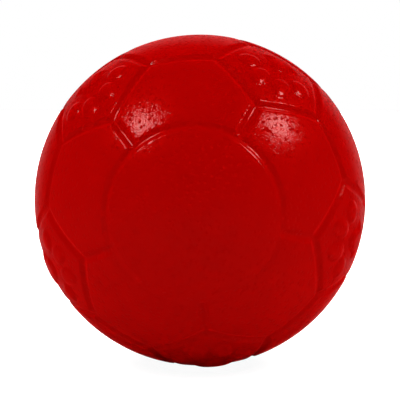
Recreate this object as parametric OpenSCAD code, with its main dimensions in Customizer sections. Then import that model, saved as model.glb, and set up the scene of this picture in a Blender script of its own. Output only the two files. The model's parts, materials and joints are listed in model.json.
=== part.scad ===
// Hollow moulded rubber play ball with the relief of a 32-panel soccer ball.
// Two half shells from one mould are bonded rim to rim, and a push-in plug closes the vent hole.
// The badge faces -Y, +Z is up, and the origin is the centre of the ball.

/* [Ball] */
// Diameter over the panels
ball_d = 76.2; // [70:0.1:90]
// Thickness of the rubber wall
wall_t = 5; // [4.5:0.1:7]
// Turn of the panel pattern about the badge axis, anticlockwise from the front, in degrees
pattern_roll = 5.55; // [-36:0.05:36]

/* [Seam grooves] */
// Width of a groove where it meets the panels
seam_w = 4.4; // [4:0.1:4.8]
// Depth of a groove below the panels
seam_depth = 0.7; // [0.5:0.05:0.9]
// Width of the round dimple where three grooves meet
corner_w = 5.8; // [5.2:0.1:6.4]
// Extra depth of that dimple below the grooves
corner_extra = 0.04; // [0.02:0.01:0.1]

/* [Badge] */
// Diameter of the plain round badge
badge_d = 36.7; // [34:0.1:38]
// Width of the groove round the badge
badge_groove_w = 2.4; // [1.6:0.1:3]
// Depth of the groove round the badge
badge_groove_depth = 0.4; // [0.3:0.05:0.6]

/* [Paw prints] */
// Height of the pads above the panel
pad_h = 0.55; // [0.3:0.05:0.8]
// Length of an inner toe pad
inner_toe_l = 6.6; // [5.5:0.1:7]
// Width of an inner toe pad
inner_toe_w = 4.6; // [3.8:0.1:5]
// Length of an outer toe pad
outer_toe_l = 5.7; // [5.2:0.1:6.8]
// Width of an outer toe pad
outer_toe_w = 4.9; // [3.8:0.1:5.1]
// Length of the heel pad, across the print
heel_l = 9.2; // [7:0.1:10]
// Width of the heel pad, along the print
heel_w = 5; // [4:0.1:5.4]
// Length of the heel pad's rounded tip, along the print
tip_l = 7.2; // [6:0.1:7.8]
// Width of the heel pad's rounded tip, across the print
tip_w = 5.6; // [4.4:0.1:5.9]
// Place of an inner toe: degrees to the side, degrees towards the badge, turn outwards
inner_toe = [3.9, 7.2, 4]; // [0:0.1:20]
// Place of an outer toe: degrees to the side, degrees towards the badge, turn outwards
outer_toe = [9.6, 0.7, 8]; // [0:0.1:20]
// Degrees from the panel's middle back to the heel pad
heel_back = 9; // [8:0.1:10]
// Degrees from the panel's middle back to the heel pad's tip
tip_back = 6; // [5.5:0.1:8]

/* [Bonded joint] */
// Thickness of the cured cement between the rims
cement_t = 0.3; // [0.2:0.05:0.5]
// How far the cement stays below the panels
cement_recess = 0.15; // [0.1:0.05:0.3]

/* [Vent plug] */
// Diameter of the vent hole
vent_d = 4.4; // [3.5:0.1:5]
// Diameter of the plug's head
head_d = 8; // [7:0.1:9]
// Depth of the head's seat below the badge, at its middle
head_seat = 1.8; // [1.5:0.1:2.2]
// Widest diameter of the barb inside the ball
barb_d = 6.4; // [5.6:0.1:7]
// Length of the barb inside the ball
barb_l = 3; // [2:0.1:4]
// Length of the barb's straight part, next to the wall
barb_land = 0.8; // [0.4:0.1:1.2]
// Diameter of the barb's blunt tip
barb_tip_d = 2.6; // [1.5:0.1:3.5]
// Gap round the plug's head and neck
plug_gap = 0.1; // [0.05:0.05:0.2]
// How far the head stays below the badge
head_recess = 0.1; // [0.05:0.05:0.3]

/* [Hidden] */
$fn = 96;

rubber_red = [0.66, 0.02, 0.02];
cement_red = [0.42, 0.05, 0.04];

ball_r = ball_d / 2;
cavity_r = ball_r - wall_t;
badge_angle = asin(badge_d / ball_d);
// A cut runs this far past what it cuts
past = 1;

// Radius of the round cutter that leaves a groove or dimple of a given width and depth
function cutter_r(width, depth) = (width * width / 4 + depth * depth) / (2 * depth);
// Radius of curvature of a dome of a given length and height that stands on the ball
function dome_r(length, height) = 1 / (1 / ball_r + 8 * height / (length * length));

function unit(v) = v / norm(v);
function from_pole(angle, azimuth) = [sin(angle) * cos(azimuth), sin(angle) * sin(azimuth), cos(angle)];

// The 12 five-sided panels lie at the corners of an icosahedron: a pole, two rings of five, a pole.
ring_angle = atan(2);
ring_start = -90;
ring_step = 72;
panels = concat(
    [[0, 0, 1]],
    [for (i = [0:4]) from_pole(ring_angle, ring_start + i * ring_step)],
    [for (i = [0:4]) from_pole(180 - ring_angle, ring_start + (i + 0.5) * ring_step)],
    [[0, 0, -1]]
);
front_pole = 0;
rear_pole = 11;
front_ring = [1:5];

function neighbours(a, b) = a != b && panels[a] * panels[b] > 0;
// Direction along the surface from the middle of panel a towards the middle of panel b
function towards(a, b) = unit(panels[b] - panels[a] * (panels[a] * panels[b]));
// Corner of the five-sided panel a that points at its neighbour b
function corner(a, b) = unit(2 * panels[a] + panels[b]);
// Point of the badge's edge on the way from its pole to the panel b
function badge_edge(pole, b) = panels[pole] * cos(badge_angle) + towards(pole, b) * sin(badge_angle);
function is_pole(a) = a == front_pole || a == rear_pole;
function link_end(a, b) = is_pole(a) ? badge_edge(a, b) : corner(a, b);

// Seams between two six-sided panels, and seams round the five-sided ones
links = [for (a = [0:11]) for (b = [a:11]) if (neighbours(a, b)) [link_end(a, b), link_end(b, a)]];
borders = [for (a = [1:10]) for (b = [0:11]) for (c = [b:11])
    if (neighbours(a, b) && neighbours(a, c) && neighbours(b, c)) [corner(a, b), corner(a, c)]];
corners = [for (a = [1:10]) for (b = [0:11]) if (neighbours(a, b)) corner(a, b)];

// Places a child with its x axis along x_dir, its z axis along z_dir, and its origin at the ball's centre.
module aligned(x_dir, z_dir) {
    y_dir = cross(z_dir, x_dir);
    multmatrix([
        [x_dir.x, y_dir.x, z_dir.x, 0],
        [x_dir.y, y_dir.y, z_dir.y, 0],
        [x_dir.z, y_dir.z, z_dir.z, 0],
        [0, 0, 0, 1]
    ])
    children();
}

// Round cutter along the great circle from one direction to another
module seam_cutter(seam) {
    tube_r = cutter_r(seam_w, seam_depth);
    sweep = acos(seam[0] * seam[1]);
    aligned(seam[0], unit(cross(seam[0], seam[1])))
        rotate_extrude(angle = sweep)
            translate([ball_r + tube_r - seam_depth, 0])
                circle(tube_r);
}

// Round cutter that hollows the meeting point of three grooves
module corner_cutter(direction) {
    depth = seam_depth + corner_extra;
    dimple_r = cutter_r(corner_w, depth);
    translate(direction * (ball_r + dimple_r - depth))
        sphere(dimple_r);
}

// Ring cutter round the badge on the +z pole
module badge_cutter() {
    tube_r = cutter_r(badge_groove_w, badge_groove_depth);
    centre_r = ball_r + tube_r - badge_groove_depth;
    rotate_extrude()
        translate([centre_r * sin(badge_angle), centre_r * cos(badge_angle)])
            circle(tube_r);
}

// Oval dome standing on the +z pole of the ball, long along x, made by turning an arc about its own chord
module oval_dome(length, width) {
    along_r = dome_r(length, pad_h);
    across_r = dome_r(width, pad_h);
    translate([0, 0, ball_r + pad_h - across_r])
        rotate([0, 90, 0])
            rotate_extrude()
                intersection() {
                    translate([across_r - along_r, 0])
                        circle(along_r);
                    translate([0, -along_r])
                        square([2 * along_r, 2 * along_r]);
                }
}

// Moves a pad from the +z pole: degrees to the side, degrees towards +x, and its own turn
module pad_at(sideways, forwards, turn) {
    rotate([-sideways, 0, 0])
        rotate([0, forwards, 0])
            rotate([0, 0, turn])
                children();
}

// Four toes and a heel, on the +z pole, with the toes towards +x
module paw_print() {
    for (side = [-1, 1]) {
        pad_at(side * inner_toe[0], inner_toe[1], side * inner_toe[2])
            oval_dome(inner_toe_l, inner_toe_w);
        pad_at(side * outer_toe[0], outer_toe[1], side * outer_toe[2])
            oval_dome(outer_toe_l, outer_toe_w);
    }
    pad_at(0, -heel_back, 90)
        oval_dome(heel_l, heel_w);
    pad_at(0, -tip_back, 0)
        oval_dome(tip_l, tip_w);
}

// One moulding, badge on the +z pole, rim half a cement line above the middle
module half_shell() {
    difference() {
        union() {
            sphere(ball_r);
            for (a = front_ring)
                aligned(towards(a, front_pole), panels[a])
                    paw_print();
        }
        sphere(cavity_r);
        translate([-ball_d, -ball_d, cement_t / 2 - 2 * ball_d])
            cube(2 * ball_d);
        badge_cutter();
        for (seam = concat(links, borders))
            if (max(seam[0].z, seam[1].z) > 0)
                seam_cutter(seam);
        for (direction = corners)
            if (direction.z > 0)
                corner_cutter(direction);
    }
}

// From the mould's frame to the ball's: badge to -Y
module in_ball() {
    rotate([90, 0, 0])
        rotate([0, 0, pattern_roll])
            children();
}

module in_rear_half() {
    in_ball()
        rotate([180, 0, 0])
            children();
}

module front_shell() {
    color(rubber_red)
        in_ball()
            half_shell();
}

module rear_shell() {
    color(rubber_red)
        in_rear_half()
            difference() {
                half_shell();
                cylinder(h = ball_r + past, d = vent_d);
                translate([0, 0, ball_r - head_seat])
                    cylinder(h = head_seat + past, d = head_d);
            }
}

module joint_cement() {
    color(cement_red)
        in_ball()
            difference() {
                translate([0, 0, -cement_t / 2])
                    cylinder(h = cement_t, r = ball_r - cement_recess);
                sphere(cavity_r);
                for (seam = links)
                    if (seam[0].z * seam[1].z < 0)
                        seam_cutter(seam);
            }
}

module vent_plug() {
    neck_r = vent_d / 2 - plug_gap;
    head_r = head_d / 2 - plug_gap;
    seat_z = ball_r - head_seat;
    barb_z = cavity_r - plug_gap;
    color(rubber_red)
        in_rear_half()
            intersection() {
                rotate_extrude()
                    polygon([
                        [0, barb_z - barb_l],
                        [barb_tip_d / 2, barb_z - barb_l],
                        [barb_d / 2, barb_z - barb_land],
                        [barb_d / 2, barb_z],
                        [neck_r, barb_z],
                        [neck_r, seat_z],
                        [head_r, seat_z],
                        [head_r, ball_r + past],
                        [0, ball_r + past]
                    ]);
                sphere(ball_r - head_recess);
            }
}

front_shell();
rear_shell();
joint_cement();
vent_plug();
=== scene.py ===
"""Looks of a hollow rubber play ball: two moulded half shells, the cement between them and a vent plug."""
import json
import math

import bmesh
import bpy
from bpy.props import FloatProperty, FloatVectorProperty, IntProperty, PointerProperty
from bpy.types import Operator, Panel, PropertyGroup
from mathutils import Matrix, Vector


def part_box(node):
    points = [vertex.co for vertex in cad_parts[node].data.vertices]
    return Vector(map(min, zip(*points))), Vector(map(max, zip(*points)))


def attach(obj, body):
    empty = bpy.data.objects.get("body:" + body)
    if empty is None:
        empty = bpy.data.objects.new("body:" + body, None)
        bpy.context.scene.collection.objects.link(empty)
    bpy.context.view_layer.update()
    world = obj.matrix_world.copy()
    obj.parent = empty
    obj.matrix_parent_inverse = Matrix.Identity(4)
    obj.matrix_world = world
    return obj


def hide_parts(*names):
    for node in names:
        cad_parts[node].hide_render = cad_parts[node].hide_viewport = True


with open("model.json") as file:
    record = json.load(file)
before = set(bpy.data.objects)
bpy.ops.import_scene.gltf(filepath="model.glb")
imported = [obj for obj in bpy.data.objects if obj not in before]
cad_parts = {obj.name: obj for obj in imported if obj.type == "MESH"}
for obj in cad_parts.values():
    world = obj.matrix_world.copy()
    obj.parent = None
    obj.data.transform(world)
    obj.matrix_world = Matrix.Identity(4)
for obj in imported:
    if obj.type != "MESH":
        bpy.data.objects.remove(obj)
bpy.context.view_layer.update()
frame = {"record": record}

bl_info = {
    "name": "Moulded play ball",
    "version": (1, 0, 0),
    "blender": (4, 5, 0),
    "location": "View3D > Sidebar > Play ball",
    "description": "Builds the rubber half shells, cement line and vent plug of a play ball, and its stage",
    "category": "Object",
}

MM = 0.001
BODY = "root"
SEAT = next(mount for mount in frame["record"]["mounts"] if mount["name"] == "cup_seat")
BALL_RADIUS = -SEAT["pos_m"][2]
CEMENT_LOW, CEMENT_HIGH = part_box("joint_cement")
PLUG_LOW, PLUG_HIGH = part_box("vent_plug")
IMAGE_PIXELS = 400
SENSOR_MM = 36


def millimetres(name, description, value):
    """A length property whose default is given in millimetres."""
    return FloatProperty(name=name, description=description, default=value * MM, unit="LENGTH", precision=5)


def degrees(name, description, value):
    """An angle property whose default is given in degrees."""
    return FloatProperty(name=name, description=description, default=math.radians(value), subtype="ANGLE")


def fraction(name, description, value):
    """A plain number from 0 to 1."""
    return FloatProperty(name=name, description=description, default=value, min=0, max=1, subtype="FACTOR")


def colour(name, description, value):
    """A linear colour property."""
    return FloatVectorProperty(name=name, description=description, default=value, size=3, subtype="COLOR")


class ShellSizes(PropertyGroup):
    """Sizes of the half shells, their seams and their badge."""

    radius: FloatProperty(
        name="Radius", description="Radius over the panels", default=BALL_RADIUS, unit="LENGTH", precision=5)
    rim_gap: FloatProperty(
        name="Rim gap", description="From the parting plane to a rim", default=CEMENT_HIGH[1],
        unit="LENGTH", precision=5)
    wall: millimetres("Wall", "Thickness of the rubber", 5)
    rim_chamfer: millimetres("Rim chamfer", "Worn edge of the rim", 0.12)
    roll: degrees("Roll", "Turn of the panels about the badge axis", 5.55)
    corner_weight: FloatProperty(
        name="Corner weight", default=1.92, min=1.5, max=2.5,
        description="Pull of a five-sided panel on its corners, 2 for seams of one length")
    seam_reach: millimetres("Seam reach", "Half the width of a seam groove", 1.5)
    seam_depth: millimetres("Seam depth", "Depth of a seam groove", 0.6)
    badge_radius: millimetres("Badge radius", "Radius of the round badge's groove", 18.35)
    badge_reach: millimetres("Badge groove reach", "Half the width of the badge's groove", 1.35)
    badge_depth: millimetres("Badge groove depth", "Depth of the badge's groove", 0.42)
    badge_fade: fraction("Badge groove fade", "Share of its depth that the badge's groove loses below", 0.65)
    cells: IntProperty(name="Cells", description="Mesh cells along a quarter turn", default=320, min=16)
    triangles: IntProperty(
        name="Triangles", description="Triangles that a half shell is thinned to", default=190000, min=5000)


class PawSizes(PropertyGroup):
    """Sizes and places of the pads of a paw print, measured from the middle of its panel."""

    pad_height: millimetres("Pad height", "Height of a pad over its panel", 0.55)
    pad_shoulder: millimetres("Pad shoulder", "Width of a pad's rounded shoulder", 1.7)
    inner_length: millimetres("Inner toe length", "Half the length of an inner toe", 3.3)
    inner_width: millimetres("Inner toe width", "Half the width of an inner toe", 2.3)
    inner_side: degrees("Inner toe aside", "From the print's middle line to an inner toe", 3.9)
    inner_ahead: degrees("Inner toe ahead", "From the panel's middle to an inner toe", 7.2)
    inner_turn: degrees("Inner toe turn", "Outward lean of an inner toe", 4)
    outer_length: millimetres("Outer toe length", "Half the length of an outer toe", 2.85)
    outer_width: millimetres("Outer toe width", "Half the width of an outer toe", 2.45)
    outer_side: degrees("Outer toe aside", "From the print's middle line to an outer toe", 9.6)
    outer_ahead: degrees("Outer toe ahead", "From the panel's middle to an outer toe", 0.7)
    outer_turn: degrees("Outer toe turn", "Outward lean of an outer toe", 8)
    heel_back: degrees("Heel back", "From the panel's middle to the broad part of the heel", 9)
    heel_length: millimetres("Heel length", "Half the length of the heel, across the print", 4.6)
    heel_width: millimetres("Heel width", "Half the width of the heel, along the print", 2.5)
    tip_back: degrees("Heel tip back", "From the panel's middle to the heel's tip", 6)
    tip_length: millimetres("Heel tip length", "Half the length of the heel's tip", 3.6)
    tip_width: millimetres("Heel tip width", "Half the width of the heel's tip", 2.8)


class RubberLook(PropertyGroup):
    """Colour and surface of the moulded rubber."""

    red: colour("Red", "Colour of the rubber", (0.42, 0.0001, 0.0001))
    deep_red: colour("Deep red", "Colour of the darkest blotches", (0.31, 0.0001, 0.0001))
    cement_red: colour("Cement red", "Colour of the cured cement", (0.16, 0.012, 0.008))
    gloss: fraction("Gloss", "Strength of the skin's highlights", 0.5)
    gloss_tint: colour("Gloss tint", "Tint of the skin's highlights", (0.75, 0.8, 0.76))
    roughness: fraction("Roughness", "Roughness of the skin", 0.1)
    lustre: fraction("Lustre", "Share of the soft red lustre round a highlight", 0.2)
    lustre_red: colour("Lustre red", "Colour of the soft lustre", (1.0, 0.01, 0.005))
    lustre_roughness: fraction("Lustre roughness", "Spread of the soft lustre", 0.42)
    bloom: fraction("Bloom", "Strength of the dry bloom seen at a slant", 0.8)
    bloom_roughness: fraction("Bloom roughness", "Spread of the dry bloom", 0.5)
    bloom_tint: colour("Bloom tint", "Tint of the dry bloom", (1.0, 0.0005, 0.0005))
    pit_spacing: millimetres("Pit spacing", "Spacing of the pits left by trapped air", 1.08)
    pit_radius: millimetres("Pit radius", "Radius of the largest pits", 0.42)
    pit_depth: millimetres("Pit depth", "Depth of the pits under the lustre", 0.3)
    grain_size: millimetres("Grain size", "Size of the fine grain", 0.32)
    grain_depth: millimetres("Grain depth", "Depth of the fine grain", 0.045)


class StageLook(PropertyGroup):
    """Camera and light."""

    camera_radii: FloatProperty(
        name="Camera distance", description="Distance of the camera in ball radii", default=8)
    image_radius: FloatProperty(
        name="Radius in the image", description="Radius of the ball in a 400 pixel image", default=165.5)
    azimuth: degrees("Azimuth", "Camera's turn about the vertical", 2.39)
    elevation: degrees("Elevation", "Camera's height above the level", 4.94)
    fill_left: FloatProperty(name="Left fill", description="Even light from the left", default=1.03)
    fill_right: FloatProperty(name="Right fill", description="Even light from the right", default=1.08)
    fill_top: FloatProperty(name="Top fill", description="Even light from above", default=0.42)
    fill_back: FloatProperty(name="Back fill", description="Even light from behind", default=1.6)
    fill_angle: degrees("Fill angle", "Angle that each even light covers", 100)
    side_azimuth: degrees("Side azimuth", "From the front round to a side fill", 75)
    room: fraction("Room", "Brightness of the room in reflections", 0.34)
    softbox: FloatProperty(name="Softbox", description="Radiance of the middle of a softbox", default=9)
    softbox_distance: FloatProperty(
        name="Softbox distance", description="From the ball to a softbox", default=0.45, unit="LENGTH")
    softbox_width: FloatProperty(
        name="Softbox width", description="Side of a square softbox", default=0.11, unit="LENGTH")
    softbox_spread: degrees("Softbox spread", "Angle over which a softbox fades out", 50)
    # Painted shadow: within this reach of the ball's foot the floor's colour is painted darker, as a contact
    # shadow
    painted_contact_shadow: millimetres("Contact shade", "Reach of the darker floor round the ball's foot", 33)
    floor_size: FloatProperty(name="Floor", description="Side of the floor", default=6, unit="LENGTH")


class Wire:
    """An output socket, with arithmetic that adds Math nodes to its tree."""

    def __init__(self, graph, socket):
        self.graph = graph
        self.socket = socket

    def __getitem__(self, name):
        return Wire(self.graph, named_socket(self.socket.node.outputs, name))

    def __add__(self, other):
        return self.graph.math("ADD", self, other)

    def __sub__(self, other):
        return self.graph.math("SUBTRACT", self, other)

    def __rsub__(self, other):
        return self.graph.math("SUBTRACT", other, self)

    def __mul__(self, other):
        return self.graph.math("MULTIPLY", self, other)

    def __truediv__(self, other):
        return self.graph.math("DIVIDE", self, other)

    def __rtruediv__(self, other):
        return self.graph.math("DIVIDE", other, self)

    __radd__ = __add__
    __rmul__ = __mul__


class Graph:
    """Adds nodes to one shader or geometry tree."""

    def __init__(self, tree):
        self.tree = tree

    def node(self, kind, settings=None, sockets=None):
        """Adds a node, sets it up, fills or links its inputs, and gives its first live output."""
        made = self.tree.nodes.new(kind)
        for name, value in (settings or {}).items():
            setattr(made, name, value)
        for name, value in (sockets or {}).items():
            socket = named_socket(made.inputs, name)
            if isinstance(value, Wire):
                self.tree.links.new(value.socket, socket)
            else:
                socket.default_value = value
        outputs = [socket for socket in made.outputs if socket.enabled]
        return Wire(self, outputs[0]) if outputs else None

    def math(self, operation, *values):
        return self.node("ShaderNodeMath", {"operation": operation}, dict(enumerate(values)))

    def vector(self, operation, *values):
        return self.node("ShaderNodeVectorMath", {"operation": operation}, dict(enumerate(values)))

    def scaled(self, vector, factor):
        return self.node("ShaderNodeVectorMath", {"operation": "SCALE"}, {0: vector, "Scale": factor})

    def dot(self, first, second):
        return self.vector("DOT_PRODUCT", first, second)["Value"]

    def split(self, vector):
        parts = self.node("ShaderNodeSeparateXYZ", sockets={"Vector": vector})
        return parts["X"], parts["Y"], parts["Z"]

    def joined(self, x, y, z):
        return self.node("ShaderNodeCombineXYZ", sockets={"X": x, "Y": y, "Z": z})

    def smoothstep(self, value, low, high):
        return self.node("ShaderNodeMapRange", {"interpolation_type": "SMOOTHSTEP"},
                         {"Value": value, "From Min": low, "From Max": high})


def named_socket(sockets, name):
    """The live socket of that name or number."""
    if isinstance(name, int):
        return sockets[name]
    return next(socket for socket in sockets if socket.enabled and socket.name == name)


# Rule of the panels

RING_ANGLE = math.atan(2)
RING_START = math.radians(-90)
RING_STEP = math.radians(72)
SEAM_POINTS = 24
PRINTED_PANELS = range(1, 6)


def from_pole(angle, azimuth):
    """The direction at an angle from the +z pole."""
    return Vector((math.sin(angle) * math.cos(azimuth), math.sin(angle) * math.sin(azimuth), math.cos(angle)))


def panel_centres():
    """Directions of the twelve five-sided panels: a pole, two rings of five, a pole."""
    upper = [from_pole(RING_ANGLE, RING_START + i * RING_STEP) for i in range(5)]
    lower = [from_pole(math.pi - RING_ANGLE, RING_START + (i + 0.5) * RING_STEP) for i in range(5)]
    return [Vector((0, 0, 1))] + upper + lower + [Vector((0, 0, -1))]


def seam_ends(weight):
    """Pairs of directions that each seam runs between, badge seams up to the poles."""
    panels = panel_centres()
    poles = (panels[0], panels[-1])

    def beside(a, b):
        return a is not b and a.dot(b) > 0

    def corner(a, b):
        return a if a in poles else (weight * a + b).normalized()

    links = [(corner(a, b), corner(b, a)) for i, a in enumerate(panels) for b in panels[i:] if beside(a, b)]
    borders = [(corner(a, b), corner(a, c))
               for a in panels if a not in poles
               for i, b in enumerate(panels) for c in panels[i:]
               if beside(a, b) and beside(a, c) and beside(b, c)]
    return links + borders


def helper_object(name, points, edges):
    """An object of loose points and edges for the moulding to measure from."""
    mesh = bpy.data.meshes.new(name)
    mesh.from_pydata(points, edges, [])
    made = bpy.data.objects.new(name, mesh)
    bpy.context.scene.collection.objects.link(made)
    return made


def seam_net(radius, corner_weight):
    """Lines along every seam, on the ball."""
    points = []
    edges = []
    for start, end in seam_ends(corner_weight):
        first = len(points)
        points += [start.slerp(end, i / SEAM_POINTS) * radius for i in range(SEAM_POINTS + 1)]
        edges += [(first + i, first + i + 1) for i in range(SEAM_POINTS)]
    return helper_object("seam_net", points, edges)


def print_places(radius):
    """Panel middles, with the direction towards the badge and whether a paw print stands there."""
    panels = panel_centres()
    made = helper_object("print_places", [centre * radius for centre in panels], [])
    slopes = [panels[0] - centre * centre.dot(panels[0]) for centre in panels]
    ahead = made.data.attributes.new("ahead", "FLOAT_VECTOR", "POINT")
    for spot, slope in zip(ahead.data, slopes):
        spot.vector = slope.normalized()
    printed = made.data.attributes.new("printed", "FLOAT", "POINT")
    for i in PRINTED_PANELS:
        printed.data[i].value = 1
    return made


# Half shell

SHELL_INPUTS = ("Radius", "Rim gap", "Wall", "Rim chamfer", "Seam reach", "Seam depth",
                "Badge reach", "Badge depth", "Badge fade")
PAW_INPUTS = ("Pad height", "Pad shoulder",
              "Inner side", "Inner ahead", "Inner turn", "Inner length", "Inner width",
              "Outer side", "Outer ahead", "Outer turn", "Outer length", "Outer width",
              "Heel back", "Heel length", "Heel width", "Tip back", "Tip length", "Tip width")
OTHER_INPUTS = {"Badge angle": "NodeSocketFloat", "Cells": "NodeSocketInt", "Seam net": "NodeSocketObject",
                "Print places": "NodeSocketObject", "Rubber": "NodeSocketMaterial"}
# The cube that is blown up to a hemisphere, and the height just above its bottom
CUBE_SIZE = (2, 2, 1)
CUBE_BOTTOM = -0.499
# Where the seams start and have their full depth beside the badge, in reaches of its groove
SEAM_START = (-0.2, 0.8)
# Heights on the mould between which the badge's groove gains its full depth, in ball radii
BADGE_FADE_SPAN = (-0.2, 0.15)
HEEL_BLEND = 1.5 * MM
CAVITY_RINGS = 8
SAME_PLACE = 0.01 * MM
# Attribute that is 1 on grooves and pads, where the mould was polished, and 0 on panels
POLISHED = "polished"


def groove(graph, distance, reach):
    """1 in the middle of a groove, easing to 0 at its edge."""
    part = graph.math("MINIMUM", distance / reach, 1)
    return graph.math("COSINE", part * math.pi) * 0.5 + 0.5


def oval(graph, along, across, length, width):
    """About how far a point lies inside the edge of an oval, in metres."""
    part = graph.vector("LENGTH", graph.joined(along / length, across / width, 0))["Value"]
    return (1 - part) * graph.math("MINIMUM", length, width)


def toe(graph, ahead, aside, radius, sizes):
    """About how far a point lies inside the edge of a leaning toe, in metres."""
    side, forward, turn, length, width = sizes
    x = ahead - graph.math("SINE", forward) * radius
    y = aside - graph.math("SINE", side) * radius
    cosine = graph.math("COSINE", turn)
    sine = graph.math("SINE", turn)
    return oval(graph, x * cosine + y * sine, y * cosine - x * sine, length, width)


def open_hemisphere(graph, given):
    """Half a cube of square cells, opened below and blown up to a hemisphere of even cells."""
    cells = given["Cells"]
    cube = graph.node("GeometryNodeMeshCube", sockets={
        "Size": CUBE_SIZE, "Vertices X": cells + 1, "Vertices Y": cells + 1, "Vertices Z": cells / 2 + 1})
    x, y, z = graph.split(graph.node("GeometryNodeInputPosition"))
    bowl = graph.node("GeometryNodeDeleteGeometry", {"domain": "FACE"},
                      {"Geometry": cube, "Selection": graph.math("LESS_THAN", z, CUBE_BOTTOM)})
    even = [graph.math("TANGENT", part * (math.pi / 4)) for part in (x, y, z + CUBE_SIZE[2] / 2)]
    direction = graph.vector("NORMALIZE", graph.joined(*even))
    rim_rise = (given["Rim gap"] + given["Rim chamfer"]) / given["Radius"]
    lift = (1 - graph.split(direction)[2]) * rim_rise
    direction = graph.vector("NORMALIZE", graph.vector("ADD", direction, graph.joined(0, 0, lift)))
    return graph.node("GeometryNodeSetPosition",
                      sockets={"Geometry": bowl, "Position": graph.scaled(direction, given["Radius"])})


def grooves(graph, given, place, outward):
    """How fully a point lies in a seam and in the badge's groove, from 0 to 1, and the depth there."""
    net = graph.node("GeometryNodeObjectInfo", sockets={"Object": given["Seam net"]})["Geometry"]
    to_seam = graph.node("GeometryNodeProximity", {"target_element": "EDGES"},
                         {"Geometry": net, "Sample Position": place})["Distance"]
    up, to_badge = graph.split(outward)[1:]
    reach = given["Badge reach"]
    from_badge = (graph.math("ARCCOSINE", to_badge) - given["Badge angle"]) * given["Radius"]
    outside = graph.smoothstep(from_badge, *[reach * part for part in SEAM_START])
    seam = groove(graph, to_seam, given["Seam reach"]) * outside
    ring = groove(graph, graph.math("ABSOLUTE", from_badge), reach)
    kept = 1 - (1 - graph.smoothstep(up, *BADGE_FADE_SPAN)) * given["Badge fade"]
    depth = graph.math("MAXIMUM", seam * given["Seam depth"], ring * kept * given["Badge depth"])
    return seam, ring, depth


def paw_pads(graph, given, place, outward):
    """How fully a point stands on a pad of its panel's paw print, mirrored about the print's middle line."""
    radius = given["Radius"]
    panels = graph.node("GeometryNodeObjectInfo", sockets={"Object": given["Print places"]})["Geometry"]
    nearest = graph.node("GeometryNodeSampleNearest", sockets={"Geometry": panels, "Sample Position": place})

    def of_panel(value, data_type):
        return graph.node("GeometryNodeSampleIndex", {"data_type": data_type},
                          {"Geometry": panels, "Value": value, "Index": nearest})

    def stored(name, data_type):
        return graph.node("GeometryNodeInputNamedAttribute", {"data_type": data_type}, {"Name": name})

    middle = graph.vector("NORMALIZE", of_panel(graph.node("GeometryNodeInputPosition"), "FLOAT_VECTOR"))
    forward = of_panel(stored("ahead", "FLOAT_VECTOR"), "FLOAT_VECTOR")
    printed = of_panel(stored("printed", "FLOAT"), "FLOAT")
    sideways = graph.vector("CROSS_PRODUCT", middle, forward)
    ahead = graph.dot(outward, forward) * radius
    aside = graph.math("ABSOLUTE", graph.dot(outward, sideways) * radius)
    toes = [toe(graph, ahead, aside, radius,
                [given[which + part] for part in (" side", " ahead", " turn", " length", " width")])
            for which in ("Inner", "Outer")]
    heel_x = ahead + graph.math("SINE", given["Heel back"]) * radius
    tip_x = ahead + graph.math("SINE", given["Tip back"]) * radius
    heel = graph.math("SMOOTH_MAX", oval(graph, heel_x, aside, given["Heel width"], given["Heel length"]),
                      oval(graph, tip_x, aside, given["Tip length"], given["Tip width"]), HEEL_BLEND)
    inside = graph.math("MAXIMUM", graph.math("MAXIMUM", *toes), heel)
    slack = graph.node("ShaderNodeMapRange", sockets={
        "Value": inside, "From Max": given["Pad shoulder"], "To Min": 1, "To Max": 0})
    return (1 - slack * slack) * printed


def rim_and_cavity(graph, given, shell):
    """Draws the rim and the cavity wall out of a shell's open edge, ring by ring, and closes the cavity."""
    edge = graph.math("LESS_THAN", graph.node("GeometryNodeInputMeshEdgeNeighbors"), 2)
    inner = given["Radius"] - given["Wall"]
    x, y = graph.split(graph.node("GeometryNodeInputPosition"))[:2]
    level = graph.joined(x, y, 0)
    about = graph.vector("NORMALIZE", level)
    reach = graph.vector("LENGTH", level)["Value"]
    start = graph.math("ARCSINE", given["Rim gap"] / inner)
    rings = [(reach - given["Rim chamfer"], given["Rim gap"])]
    for i in range(CAVITY_RINGS + 1):
        angle = start + (math.pi / 2 - start) * (i / CAVITY_RINGS)
        rings.append((inner * graph.math("COSINE", angle), inner * graph.math("SINE", angle)))
    for out, height in rings:
        drawn = graph.node("GeometryNodeExtrudeMesh", {"mode": "EDGES"},
                           {"Mesh": shell, "Selection": edge, "Offset Scale": 0})
        edge = drawn["Top"]
        target = graph.vector("ADD", graph.scaled(about, out), graph.joined(0, 0, height))
        shell = graph.node("GeometryNodeSetPosition",
                           sockets={"Geometry": drawn["Mesh"], "Selection": edge, "Position": target})
    return graph.node("GeometryNodeMergeByDistance", sockets={"Geometry": shell, "Distance": SAME_PLACE})


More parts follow.
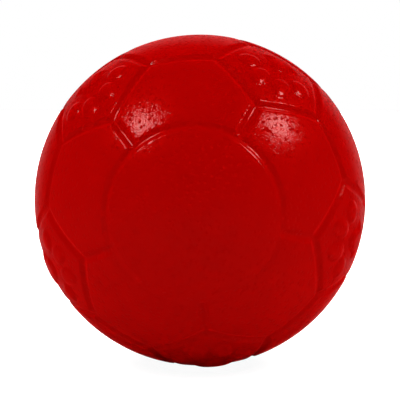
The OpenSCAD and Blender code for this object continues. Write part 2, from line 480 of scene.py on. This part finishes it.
def half_shell_tree():
    """Geometry nodes for one moulding: badge on +z, rim just above the middle plane."""
    tree = bpy.data.node_groups.new("Moulded half shell", "GeometryNodeTree")
    kinds = {**dict.fromkeys(SHELL_INPUTS + PAW_INPUTS, "NodeSocketFloat"), **OTHER_INPUTS}
    for name, kind in kinds.items():
        tree.interface.new_socket(name, in_out="INPUT", socket_type=kind)
    tree.interface.new_socket("Geometry", in_out="OUTPUT", socket_type="NodeSocketGeometry")
    graph = Graph(tree)
    given = graph.node("NodeGroupInput")
    sphere = open_hemisphere(graph, given)
    place = graph.node("GeometryNodeInputPosition")
    outward = graph.vector("NORMALIZE", place)
    seam, ring, depth = grooves(graph, given, place, outward)
    pad = paw_pads(graph, given, place, outward) * (1 - seam)
    polished = graph.math("MAXIMUM", graph.math("MAXIMUM", seam, ring), pad)
    marked = graph.node("GeometryNodeStoreNamedAttribute", {"data_type": "FLOAT", "domain": "POINT"},
                        {"Geometry": sphere, "Name": POLISHED, "Value": polished})
    relief = pad * given["Pad height"] - depth
    moulded = graph.node("GeometryNodeSetPosition",
                         sockets={"Geometry": marked, "Offset": graph.scaled(outward, relief)})
    closed = rim_and_cavity(graph, given, moulded)
    smooth = graph.node("GeometryNodeSetShadeSmooth", sockets={"Geometry": closed})
    real = graph.node("GeometryNodeRealizeInstances", sockets={"Geometry": smooth})
    dressed = graph.node("GeometryNodeSetMaterial", sockets={"Geometry": real, "Material": given["Rubber"]})
    graph.node("NodeGroupOutput", sockets={"Geometry": dressed})
    return tree


def named_values(group, names):
    """A group's properties, under the names of the inputs that they fill."""
    return {name: getattr(group, name.lower().replace(" ", "_")) for name in names}


def fill_inputs(modifier, values):
    """Sets a geometry nodes modifier's inputs by their sockets' identifiers."""
    for item in modifier.node_group.interface.items_tree:
        if item.in_out == "INPUT":
            modifier[item.identifier] = values[item.name]


def plain_mesh(made, name):
    """The evaluated mesh of an object, which is then taken away."""
    depsgraph = bpy.context.evaluated_depsgraph_get()
    mesh = bpy.data.meshes.new_from_object(made.evaluated_get(depsgraph), depsgraph=depsgraph)
    mesh.name = name
    bpy.data.objects.remove(made)
    return mesh


def dress(mesh, material):
    """Gives every face of a mesh the one material."""
    mesh.materials.clear()
    mesh.materials.append(material)


def face_outwards(mesh):
    """Turns every face of a closed mesh outwards."""
    shape = bmesh.new()
    shape.from_mesh(mesh)
    bmesh.ops.recalc_face_normals(shape, faces=shape.faces)
    shape.to_mesh(mesh)
    shape.free()


def thinned_mesh(mesh, triangles):
    """The mesh with fewer triangles where it is smooth, and its relief kept."""
    mesh.calc_loop_triangles()
    made = bpy.data.objects.new(mesh.name, mesh)
    bpy.context.scene.collection.objects.link(made)
    thin = made.modifiers.new("Thin", "DECIMATE")
    thin.ratio = min(1, triangles / len(mesh.loop_triangles))
    return plain_mesh(made, mesh.name)


def half_shell_mesh(name, rubber):
    """One moulding as a plain mesh, in the mould's frame."""
    shell = bpy.context.scene.ball_shell
    paw = bpy.context.scene.ball_paw
    net = seam_net(shell.radius, shell.corner_weight)
    places = print_places(shell.radius)
    made = bpy.data.objects.new(name, bpy.data.meshes.new(name))
    bpy.context.scene.collection.objects.link(made)
    modifier = made.modifiers.new("Moulding", "NODES")
    modifier.node_group = half_shell_tree()
    fill_inputs(modifier, {
        **named_values(shell, SHELL_INPUTS), **named_values(paw, PAW_INPUTS),
        "Badge angle": math.asin(shell.badge_radius / shell.radius), "Cells": shell.cells,
        "Seam net": net, "Print places": places, "Rubber": rubber,
    })
    mesh = plain_mesh(made, name)
    dress(mesh, rubber)
    bpy.data.objects.remove(net)
    bpy.data.objects.remove(places)
    face_outwards(mesh)
    return thinned_mesh(mesh, shell.triangles)


def mould_to_ball():
    """Turns the mould's +z to the front of the ball, with the panels rolled about it."""
    roll = bpy.context.scene.ball_shell.roll
    return Matrix.Rotation(math.radians(90), 4, "X") @ Matrix.Rotation(roll, 4, "Z")


def mould_to_rear():
    """Turns the mould's +z to the back of the ball."""
    return mould_to_ball() @ Matrix.Rotation(math.pi, 4, "X")


def finished_piece(name, mesh, node):
    """Puts a mesh into the scene as the piece that stands for a CAD node."""
    piece = bpy.data.objects.new(name, mesh)
    bpy.context.scene.collection.objects.link(piece)
    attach(piece, BODY)
    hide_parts(node)


# Vent and plug

LATHE_STEPS = 96
# Middle of a rounded edge, from its start, in radii of the rounding
ARC_MIDDLE = 0.3
# How far the vent cutter's mouth widens above the badge, in radii of the seat's rounding
MOUTH_FLARE = 2
CROWN_STEPS = 6
BARB_GAP = 0.1 * MM
BEVEL_SEGMENTS = 3
BEVEL_ANGLE = math.radians(30)
SHARP_ANGLE = math.radians(50)


def lathe_mesh(name, outline):
    """A closed solid turned about z from an outline of (radius, height) points, both ends on the axis."""
    shape = bmesh.new()
    rows = []
    for out, height in outline:
        if out == 0:
            rows.append([shape.verts.new((0, 0, height))])
        else:
            turns = [2 * math.pi * i / LATHE_STEPS for i in range(LATHE_STEPS)]
            rows.append([shape.verts.new((out * math.cos(t), out * math.sin(t), height)) for t in turns])
    for low, high in zip(rows, rows[1:]):
        for i in range(LATHE_STEPS):
            j = (i + 1) % LATHE_STEPS
            ring = [low[i % len(low)], low[j % len(low)], high[j % len(high)], high[i % len(high)]]
            shape.faces.new(list(dict.fromkeys(ring)))
    bmesh.ops.recalc_face_normals(shape, faces=shape.faces)
    mesh = bpy.data.meshes.new(name)
    shape.to_mesh(mesh)
    shape.free()
    return mesh


# Materials

# Where a pit's edge starts to fade, in pit radii
PIT_EDGE = 0.8
PIT_ROUGHNESS = 0.9
BLOTCHES_PER_METRE = 90
BLOTCH_DETAIL = 3
BLOTCH_SHARE = 0.25
# Share of the grain that is left where the mould was polished
POLISHED_GRAIN = 0.2
ROUGHNESS_RANGE = 0.1
PLUG_EXTRA_ROUGHNESS = 0.12
CEMENT_ROUGHNESS = 0.6


def new_material(name):
    """An empty node material, and the graph that fills it."""
    material = bpy.data.materials.new(name)
    material.use_nodes = True
    material.node_tree.nodes.clear()
    return material, Graph(material.node_tree)


def rubber_material(name, red, deep_red, roughness, grain_depth):
    """Moulded rubber: a grained skin, dull round pits of trapped air, and soft blotches of colour."""
    look = bpy.context.scene.ball_rubber
    material, graph = new_material(name)
    place = graph.node("ShaderNodeTexCoord")["Object"]
    pits = graph.node("ShaderNodeTexVoronoi", sockets={"Vector": place, "Scale": 1 / look.pit_spacing})
    reach = look.pit_radius / look.pit_spacing
    rough = 1 - graph.node("ShaderNodeAttribute", {"attribute_name": POLISHED})["Fac"]
    pit = (1 - graph.smoothstep(pits["Distance"], reach * PIT_EDGE, reach)) * rough
    grain = graph.node("ShaderNodeTexNoise", sockets={
        "Vector": place, "Scale": 1 / look.grain_size, "Detail": 0})
    blotch = graph.node("ShaderNodeTexNoise", sockets={
        "Vector": place, "Scale": BLOTCHES_PER_METRE, "Detail": BLOTCH_DETAIL})
    tone = graph.node("ShaderNodeMix", {"data_type": "RGBA"}, {
        "Factor": blotch * BLOTCH_SHARE, "A": (*red, 1), "B": (*deep_red, 1)})
    grain_left = rough * (1 - POLISHED_GRAIN) + POLISHED_GRAIN
    bump = graph.node("ShaderNodeBump", sockets={
        "Strength": 1, "Distance": MM, "Height": grain * grain_left * (grain_depth / MM)})
    hollow = graph.math("MINIMUM", pits["Distance"], reach) * (look.pit_depth / MM / reach)
    dimple = graph.node("ShaderNodeBump", sockets={"Strength": 1, "Distance": MM, "Height": hollow})
    skin = graph.node("ShaderNodeBsdfPrincipled", sockets={
        "Base Color": tone, "Normal": bump,
        "Roughness": grain * ROUGHNESS_RANGE + (roughness - ROUGHNESS_RANGE / 2),
        "Specular IOR Level": look.gloss, "Specular Tint": (*look.gloss_tint, 1),
        "Sheen Weight": look.bloom, "Sheen Roughness": look.bloom_roughness,
        "Sheen Tint": (*look.bloom_tint, 1)})
    lustre = graph.node("ShaderNodeBsdfPrincipled", sockets={
        "Base Color": (*look.lustre_red, 1), "Metallic": 1, "Roughness": look.lustre_roughness,
        "Normal": dimple})
    dull = graph.node("ShaderNodeBsdfPrincipled", sockets={
        "Base Color": tone, "Roughness": PIT_ROUGHNESS, "Specular IOR Level": 0})
    pitted = graph.node("ShaderNodeMixShader", sockets={0: pit, 1: skin, 2: dull})
    shader = graph.node("ShaderNodeMixShader", sockets={0: look.lustre, 1: pitted, 2: lustre})
    graph.node("ShaderNodeOutputMaterial", sockets={"Surface": shader})
    return material


def moulded_red():
    """The shells' rubber, made once and shared by both halves."""
    look = bpy.context.scene.ball_rubber
    made = bpy.data.materials.get("moulded_red")
    return made or rubber_material("moulded_red", look.red, look.deep_red, look.roughness, look.grain_depth)


def plug_red():
    """The plug's rubber, a little duller than the shells'."""
    look = bpy.context.scene.ball_rubber
    roughness = look.roughness + PLUG_EXTRA_ROUGHNESS
    return rubber_material("plug_red", look.red, look.deep_red, roughness, look.grain_depth / 2)


def cured_cement():
    """The cement's dark, dull rubber."""
    look = bpy.context.scene.ball_rubber
    return rubber_material("cured_cement", look.cement_red, look.deep_red, CEMENT_ROUGHNESS, look.grain_depth)


# Operators


class BALL_OT_front_half(Operator):
    """Mould the front half shell, with its seams, bare badge and paw prints"""

    bl_idname = "ball.front_half"
    bl_label = "Front half shell"

    def execute(self, context):
        mesh = half_shell_mesh("front_half", moulded_red())
        mesh.transform(mould_to_ball())
        finished_piece("front_half", mesh, "front_shell")
        return {"FINISHED"}


class BALL_OT_rear_half(Operator):
    """Mould the rear half shell and cut the stepped vent hole through its badge"""

    bl_idname = "ball.rear_half"
    bl_label = "Rear half shell"

    vent_radius: millimetres("Vent radius", "Radius of the vent hole", 2.2)
    seat_radius: millimetres("Seat radius", "Radius of the plug head's seat", 4)
    seat_depth: millimetres("Seat depth", "Depth of the plug head's seat", 1.8)
    edge: millimetres("Edge", "Rounding of the seat's edge", 0.3)

    def execute(self, context):
        shell = context.scene.ball_shell
        mesh = bpy.data.objects["front_half"].data.copy()
        mesh.transform(mould_to_ball().inverted())
        top = shell.radius
        low = shell.radius - 2 * shell.wall
        lip = top - self.seat_radius ** 2 / (2 * top)
        cutter = bpy.data.objects.new("vent_cutter", lathe_mesh("vent_cutter", [
            (0, low), (self.vent_radius, low), (self.vent_radius, top - self.seat_depth),
            (self.seat_radius, top - self.seat_depth), (self.seat_radius, lip - self.edge),
            (self.seat_radius + ARC_MIDDLE * self.edge, lip - ARC_MIDDLE * self.edge),
            (self.seat_radius + self.edge, lip),
            (self.seat_radius + MOUTH_FLARE * self.edge, top + shell.wall), (0, top + shell.wall)]))
        context.scene.collection.objects.link(cutter)
        whole = bpy.data.objects.new("rear_whole", mesh)
        context.scene.collection.objects.link(whole)
        cut = whole.modifiers.new("Vent", "BOOLEAN")
        cut.object = cutter
        cut.operation = "DIFFERENCE"
        cut.solver = "MANIFOLD"
        mesh = plain_mesh(whole, "rear_half")
        dress(mesh, moulded_red())
        bpy.data.objects.remove(cutter)
        mesh.transform(mould_to_rear())
        mesh.set_sharp_from_angle(angle=SHARP_ANGLE)
        finished_piece("rear_half", mesh, "rear_shell")
        return {"FINISHED"}


class BALL_OT_cement_line(Operator):
    """Fill the gap between the rims with cured cement that follows their outline, a little below it"""

    bl_idname = "ball.cement_line"
    bl_label = "Cement line"

    recess: millimetres("Recess", "How far the cement stays below the rubber", 0.15)

    def execute(self, context):
        shell = context.scene.ball_shell
        front = bpy.data.objects["front_half"].data
        back_to_mould = mould_to_ball().inverted()
        rim = [back_to_mould @ vertex.co for vertex in front.vertices]
        rim = [spot for spot in rim if abs(spot.z - shell.rim_gap) < SAME_PLACE]
        middle = shell.radius - shell.wall / 2
        outer = [spot for spot in rim if spot.length > middle]
        outer.sort(key=lambda spot: math.atan2(spot.y, spot.x))
        inner_reach = math.sqrt((shell.radius - shell.wall) ** 2 - shell.rim_gap ** 2)
        shape = bmesh.new()
        rows = []
        for spot in outer:
            about = Vector((spot.x, spot.y, 0)).normalized()
            reach = Vector((spot.x, spot.y, 0)).length + shell.rim_chamfer - self.recess
            corners = [(reach, 1), (reach, -1), (inner_reach, -1), (inner_reach, 1)]
            rows.append([shape.verts.new(about * out + Vector((0, 0, side * shell.rim_gap)))
                         for out, side in corners])
        for row, after in zip(rows, rows[1:] + rows[:1]):
            for i in range(len(row)):
                j = (i + 1) % len(row)
                shape.faces.new((row[i], row[j], after[j], after[i]))
        bmesh.ops.recalc_face_normals(shape, faces=shape.faces)
        mesh = bpy.data.meshes.new("cement_line")
        shape.to_mesh(mesh)
        shape.free()
        mesh.transform(mould_to_ball())
        dress(mesh, cured_cement())
        finished_piece("cement_line", mesh, "joint_cement")
        return {"FINISHED"}


class BALL_OT_vent_plug(Operator):
    """Turn the barbed plug that closes the vent hole"""

    bl_idname = "ball.vent_plug"
    bl_label = "Vent plug"

    head_radius: millimetres("Head radius", "Radius of the head", 3.9)
    neck_radius: millimetres("Neck radius", "Radius of the neck", 2.1)
    barb_radius: millimetres("Barb radius", "Radius of the barb", 3.2)
    tip_radius: millimetres("Tip radius", "Radius of the barb's blunt tip", 1.3)
    barb_land: millimetres("Barb land", "Straight part of the barb", 0.8)
    seat_depth: millimetres("Seat depth", "Depth of the head's seat", 1.8)
    edge: millimetres("Edge", "Rounding of the edges", 0.25)

    def execute(self, context):
        shell = context.scene.ball_shell
        tip = PLUG_LOW[1]
        crown = PLUG_HIGH[1]
        barb = shell.radius - shell.wall - BARB_GAP
        seat = shell.radius - self.seat_depth
        outline = [
            (0, tip), (self.tip_radius, tip),
            (self.barb_radius, barb - self.barb_land), (self.barb_radius, barb),
            (self.neck_radius, barb), (self.neck_radius, seat), (self.head_radius, seat)]
        for i in range(CROWN_STEPS + 1):
            out = self.head_radius * (1 - i / CROWN_STEPS)
            outline.append((out, math.sqrt(crown ** 2 - out ** 2)))
        made = bpy.data.objects.new("plug_blank", lathe_mesh("plug_blank", outline))
        context.scene.collection.objects.link(made)
        bevel = made.modifiers.new("Worn edges", "BEVEL")
        bevel.width = self.edge
        bevel.segments = BEVEL_SEGMENTS
        bevel.limit_method = "ANGLE"
        bevel.angle_limit = BEVEL_ANGLE
        mesh = plain_mesh(made, "vent_plug")
        mesh.transform(mould_to_rear())
        mesh.shade_smooth()
        mesh.set_sharp_from_angle(angle=SHARP_ANGLE)
        dress(mesh, plug_red())
        finished_piece("plug", mesh, "vent_plug")
        return {"FINISHED"}


# Stage

# How squarely a reflection points behind the ball at the edge and the middle of the room's one pale wall
WALL_EDGE = (0.75, 1)
# Heights between which the wall's foot brightens
WALL_FOOT = (-0.4, -0.2)
# Heights between which the wall dims again, and the share that it loses
WALL_DIMMING = (0, 0.35)
WALL_DIM_SHARE = 0.35
FLOOR_GAP = 0.05 * MM
FLOOR_PALE = 0.92
FLOOR_GLOW = 0.95
# How many times smaller the darkest part of the contact shadow painted into the floor's colour is than the
# whole
CONTACT_CORE = 3


def seen_directly(path):
    """1 for rays from the camera and through glass."""
    return path.graph.math("MAXIMUM", path["Is Camera Ray"], path["Is Transmission Ray"])


def camera_axes(look):
    """Right, up and back of the camera, as directions of the ball's frame."""
    right = Vector((math.cos(look.azimuth), math.sin(look.azimuth), 0))
    back = Vector((math.sin(look.azimuth) * math.cos(look.elevation),
                   -math.cos(look.azimuth) * math.cos(look.elevation), math.sin(look.elevation)))
    return right, back.cross(right), back


def aimed(axis):
    """Rotation of a camera or lamp whose back points along an axis."""
    return axis.to_track_quat("Z", "Y").to_euler()


class BALL_OT_stage(Operator):
    """Set the camera, the two softboxes, the even light and the pale floor"""

    bl_idname = "ball.stage"
    bl_label = "Stage"

    left_glint: FloatVectorProperty(
        name="Left glint", description="Where the ball mirrors the left softbox: right, up, to the camera",
        default=(-0.319, 0.412, 0.854), subtype="DIRECTION")
    right_glint: FloatVectorProperty(
        name="Right glint", description="Where the ball mirrors the right softbox: right, up, to the camera",
        default=(0.432, 0.412, 0.802), subtype="DIRECTION")

    def execute(self, context):
        look = context.scene.ball_stage
        self.camera(context, look)
        for name, glint in (("left_softbox", self.left_glint), ("right_softbox", self.right_glint)):
            self.softbox(context, look, name, glint)
        aside = math.sin(look.side_azimuth)
        ahead = math.cos(look.side_azimuth)
        for name, towards, strength in (
                ("left_fill", (-aside, -ahead, 0), look.fill_left),
                ("right_fill", (aside, -ahead, 0), look.fill_right),
                ("top_fill", (0, 0, 1), look.fill_top),
                ("back_fill", (0, 1, 0), look.fill_back)):
            self.fill(context, look, name, Vector(towards), strength)
        self.world(context, look)
        self.floor(context, look)
        context.scene.view_settings.view_transform = "Standard"
        return {"FINISHED"}

    def camera(self, context, look):
        """A camera at the photograph's angle, with the ball at its size in the image."""
        focal_pixels = look.image_radius * math.sqrt(look.camera_radii ** 2 - 1)
        data = bpy.data.cameras.new("camera")
        data.sensor_width = SENSOR_MM
        data.lens = SENSOR_MM * focal_pixels / IMAGE_PIXELS
        data.clip_start = MM
        camera = bpy.data.objects.new("camera", data)
        back = camera_axes(look)[2]
        camera.location = back * (look.camera_radii * BALL_RADIUS)
        camera.rotation_euler = aimed(back)
        context.scene.collection.objects.link(camera)
        context.scene.camera = camera

    def softbox(self, context, look, name, glint):
        """A square lamp that the ball mirrors to the camera at its glint."""
        right, up, back = camera_axes(look)
        outward = (right * glint[0] + up * glint[1] + back * glint[2]).normalized()
        spot = outward * BALL_RADIUS
        to_camera = (context.scene.camera.location - spot).normalized()
        towards = 2 * outward.dot(to_camera) * outward - to_camera
        data = bpy.data.lights.new(name, "AREA")
        data.shape = "SQUARE"
        data.size = look.softbox_width
        data.spread = look.softbox_spread
        half_spread = look.softbox_spread / 2
        narrowing = math.tan(half_spread) / (math.tan(half_spread) - half_spread)
        data.energy = look.softbox * math.pi * look.softbox_width ** 2 / narrowing
        lamp = bpy.data.objects.new(name, data)
        lamp.location = spot + towards * look.softbox_distance
        lamp.rotation_euler = aimed(towards)
        lamp.visible_camera = False
        context.scene.collection.objects.link(lamp)

    def fill(self, context, look, name, towards, strength):
        """A broad even light that leaves no glint."""
        data = bpy.data.lights.new(name, "SUN")
        data.angle = look.fill_angle
        data.energy = strength * math.pi
        data.cycles.use_multiple_importance_sampling = False
        lamp = bpy.data.objects.new(name, data)
        lamp.rotation_euler = aimed(towards)
        lamp.visible_glossy = False
        lamp.visible_camera = False
        context.scene.collection.objects.link(lamp)

    def world(self, context, look):
        """White to the camera, a dim room in reflections, and no light of its own."""
        world = bpy.data.worlds.new("even_light")
        world.use_nodes = True
        world.node_tree.nodes.clear()
        graph = Graph(world.node_tree)
        path = graph.node("ShaderNodeLightPath")
        seen = seen_directly(path)
        behind, above = graph.split(graph.node("ShaderNodeTexCoord")["Generated"])[1:]
        room = graph.smoothstep(behind, *WALL_EDGE) * graph.smoothstep(above, *WALL_FOOT) * look.room
        room = room * (1 - graph.smoothstep(above, *WALL_DIMMING) * WALL_DIM_SHARE)
        strength = seen + (1 - seen) * path["Is Glossy Ray"] * room
        light = graph.node("ShaderNodeBackground", sockets={"Color": (1, 1, 1, 1), "Strength": strength})
        graph.node("ShaderNodeOutputWorld", sockets={"Surface": light})
        context.scene.world = world

    def floor(self, context, look):
        """A pale floor under the ball, with a contact shadow painted into its colour, darker round the ball's
        foot.
        """
        half = look.floor_size / 2
        level = -BALL_RADIUS - FLOOR_GAP
        sides = ((-half, -half), (half, -half), (half, half), (-half, half))
        mesh = bpy.data.meshes.new("floor")
        mesh.from_pydata([(x, y, level) for x, y in sides], [], [(0, 1, 2, 3)])
        material, graph = new_material("pale_floor")
        seen = seen_directly(graph.node("ShaderNodeLightPath"))
        x, y = graph.split(graph.node("ShaderNodeTexCoord")["Object"])[:2]
        away = graph.vector("LENGTH", graph.joined(x, y, 0))["Value"]
        shade = look.painted_contact_shadow
        # Painted contact shadow: the floor's colour darkens towards the ball's foot, which also dims the
        # light the floor throws back onto the ball's underside
        pale = graph.smoothstep(away, shade / CONTACT_CORE, shade) * FLOOR_PALE
        paper = graph.node("ShaderNodeBsdfDiffuse", sockets={"Color": graph.joined(pale, pale, pale)})
        glow = graph.node("ShaderNodeEmission", sockets={
            "Color": (1, 1, 1, 1), "Strength": seen * FLOOR_GLOW})
        both = graph.node("ShaderNodeAddShader", sockets={0: paper, 1: glow})
        graph.node("ShaderNodeOutputMaterial", sockets={"Surface": both})
        mesh.materials.append(material)
        floor = bpy.data.objects.new("floor", mesh)
        floor.visible_glossy = False
        context.scene.collection.objects.link(floor)


# Sidebar and run


class BALL_PT_sidebar(Panel):
    """Lists the ball's sizes and the steps that build it"""

    bl_idname = "BALL_PT_sidebar"
    bl_label = "Play ball"
    bl_space_type = "VIEW_3D"
    bl_region_type = "UI"
    bl_category = "Play ball"

    def draw(self, context):
        for group in GROUPS:
            values = getattr(context.scene, group)
            box = self.layout.box()
            for name in values.bl_rna.properties.keys():
                if name not in PropertyGroup.bl_rna.properties:
                    box.prop(values, name)
        for operator in OPERATORS:
            self.layout.operator(operator.bl_idname)


GROUPS = {"ball_shell": ShellSizes, "ball_paw": PawSizes, "ball_rubber": RubberLook, "ball_stage": StageLook}
OPERATORS = (BALL_OT_front_half, BALL_OT_rear_half, BALL_OT_cement_line, BALL_OT_vent_plug, BALL_OT_stage)


def register():
    for group in GROUPS.values():
        bpy.utils.register_class(group)
    for name, group in GROUPS.items():
        setattr(bpy.types.Scene, name, PointerProperty(type=group))
    for operator in OPERATORS:
        bpy.utils.register_class(operator)
    bpy.utils.register_class(BALL_PT_sidebar)


def unregister():
    bpy.utils.unregister_class(BALL_PT_sidebar)
    for operator in reversed(OPERATORS):
        bpy.utils.unregister_class(operator)
    for name, group in reversed(GROUPS.items()):
        delattr(bpy.types.Scene, name)
        bpy.utils.unregister_class(group)


def main():
    register()
    bpy.ops.ball.front_half()
    bpy.ops.ball.rear_half()
    bpy.ops.ball.cement_line()
    bpy.ops.ball.vent_plug()
    bpy.ops.ball.stage()


if __name__ == "__main__":
    main()
